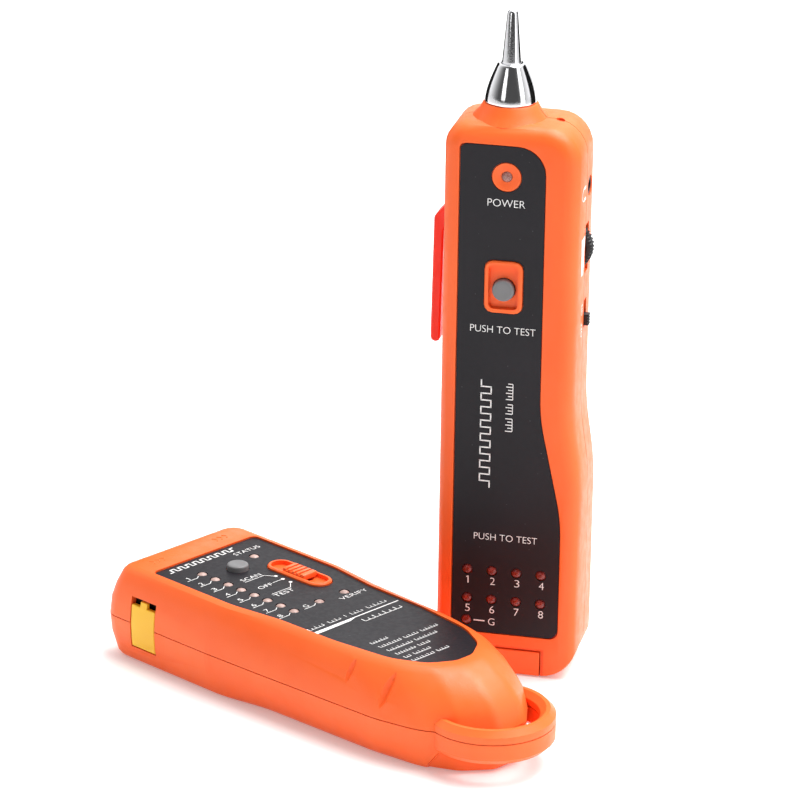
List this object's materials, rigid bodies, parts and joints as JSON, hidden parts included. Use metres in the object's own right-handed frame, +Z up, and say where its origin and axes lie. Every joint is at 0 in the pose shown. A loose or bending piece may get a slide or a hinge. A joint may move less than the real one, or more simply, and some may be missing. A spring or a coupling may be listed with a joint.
{
  "type": "tone probe kit",
  "caption": "Handheld tone receiver with a metal probe tip, standing beside its wedge-shaped tone emitter with a lanyard ring.",
  "frame": {"origin": "centre of the whole kit's bounding box, on the surface that both instruments rest on", "axes": "+Z up along the standing receiver, -Y towards the receiver's front panel, +X to the right of that panel"},
  "size_m": [0.1575, 0.118, 0.218],
  "materials": {
    "orange_abs": "fine satin moulded plastic",
    "black_panel": "satin printed membrane",
    "grey_rubber": "smooth grey rubber",
    "black_abs": "black moulded plastic",
    "yellow_abs": "glossy yellow moulded plastic",
    "red_lamp": "tinted epoxy lamp, unlit",
    "clear_lamp": "clear epoxy lamp, unlit",
    "chrome": "polished bright plating",
    "screw_steel": "zinc plated steel",
    "board": "green solder mask",
    "battery_case": "printed metal can"
  },
  "bodies": {
    "receiver": {"receiver_front_shell": "orange_abs", "receiver_back_shell": "orange_abs", "receiver_faceplate": "black_panel", "side_clip": "orange_abs", "probe_ferrule": "chrome", "probe_tip": "chrome", "power_led": "clear_lamp", "pair_led_1": "red_lamp", "pair_led_2": "red_lamp", "pair_led_3": "red_lamp", "pair_led_4": "red_lamp", "pair_led_5": "red_lamp", "pair_led_6": "red_lamp", "pair_led_7": "red_lamp", "pair_led_8": "red_lamp", "pair_led_ground": "red_lamp", "receiver_circuit_board": "board", "test_button_switch": "black_abs", "volume_potentiometer": "black_abs", "headphone_jack": "black_abs", "power_switch_body": "black_abs", "receiver_battery": "battery_case", "receiver_battery_snap": "black_abs", "receiver_speaker": "black_abs", "receiver_rj45_jack": "black_abs", "receiver_screw_1": "screw_steel", "receiver_screw_2": "screw_steel", "receiver_screw_3": "screw_steel", "receiver_screw_4": "screw_steel"},
    "test_button": {"test_button": "grey_rubber"},
    "volume_wheel": {"volume_wheel": "black_abs"},
    "power_switch": {"power_switch_slider": "black_abs"},
    "port_cover": {"receiver_port_cover": "orange_abs"},
    "receiver_battery_door": {"receiver_battery_door": "orange_abs"},
    "emitter": {"emitter_top_shell": "orange_abs", "emitter_bottom_shell": "orange_abs", "emitter_faceplate": "black_panel", "wire_led_1": "clear_lamp", "wire_led_2": "clear_lamp", "wire_led_3": "clear_lamp", "wire_led_4": "clear_lamp", "wire_led_5": "clear_lamp", "wire_led_6": "clear_lamp", "wire_led_7": "clear_lamp", "wire_led_8": "clear_lamp", "ground_led": "clear_lamp", "status_led": "clear_lamp", "verify_led": "clear_lamp", "emitter_circuit_board": "board", "scan_button_switch": "black_abs", "mode_switch_body": "black_abs", "emitter_battery": "battery_case", "emitter_battery_snap": "black_abs", "emitter_rj45_jack": "black_abs", "emitter_screw_1": "screw_steel", "emitter_screw_2": "screw_steel"},
    "scan_button": {"scan_button": "grey_rubber"},
    "mode_switch": {"mode_switch_slider": "orange_abs"},
    "dust_cover": {"jack_dust_cover": "yellow_abs"},
    "emitter_battery_door": {"emitter_battery_door": "orange_abs"}
  },
  "joints": [
    {"name": "emitter_lift", "type": "slide", "parent": "receiver", "child": "emitter", "axis": [0, 0, 1], "range_m": [0, 0.23]},
    {"name": "test_button_press", "type": "slide", "parent": "receiver", "child": "test_button", "axis": [0, 1, 0], "range_m": [0, 0.0008], "stiffness_N_per_m": 400},
    {"name": "volume_wheel_turn", "type": "hinge", "parent": "receiver", "child": "volume_wheel", "pos_m": [0.0634, 0.0438, 0.1418], "axis": [0, 1, 0], "range_deg": [-150, 150]},
    {"name": "power_switch_slide", "type": "slide", "parent": "receiver", "child": "power_switch", "axis": [0, 0, 1], "range_m": [0, 0.004]},
    {"name": "port_cover_slide", "type": "slide", "parent": "receiver", "child": "port_cover", "axis": [0, -1, 0], "range_m": [0, 0.016]},
    {"name": "receiver_battery_door_hinge", "type": "hinge", "parent": "receiver", "child": "receiver_battery_door", "pos_m": [0.0466, 0.0557, 0.054], "axis": [-1, 0, 0], "range_deg": [0, 75]},
    {"name": "scan_button_press", "type": "slide", "parent": "emitter", "child": "scan_button", "axis": [0, 0, -1], "range_m": [0, 0.0006], "stiffness_N_per_m": 400},
    {"name": "mode_switch_slide", "type": "slide", "parent": "emitter", "child": "mode_switch", "axis": [0.856, -0.517, 0], "range_m": [-0.0034, 0.0034]},
    {"name": "dust_cover_hinge", "type": "hinge", "parent": "emitter", "child": "dust_cover", "pos_m": [-0.06466, 0.00255, 0.0059], "axis": [0.856, -0.517, 0], "range_deg": [0, 100]},
    {"name": "emitter_battery_door_slide", "type": "slide", "parent": "emitter", "child": "emitter_battery_door", "axis": [-0.856, 0.517, 0], "range_m": [0, 0.014]}
  ]
}
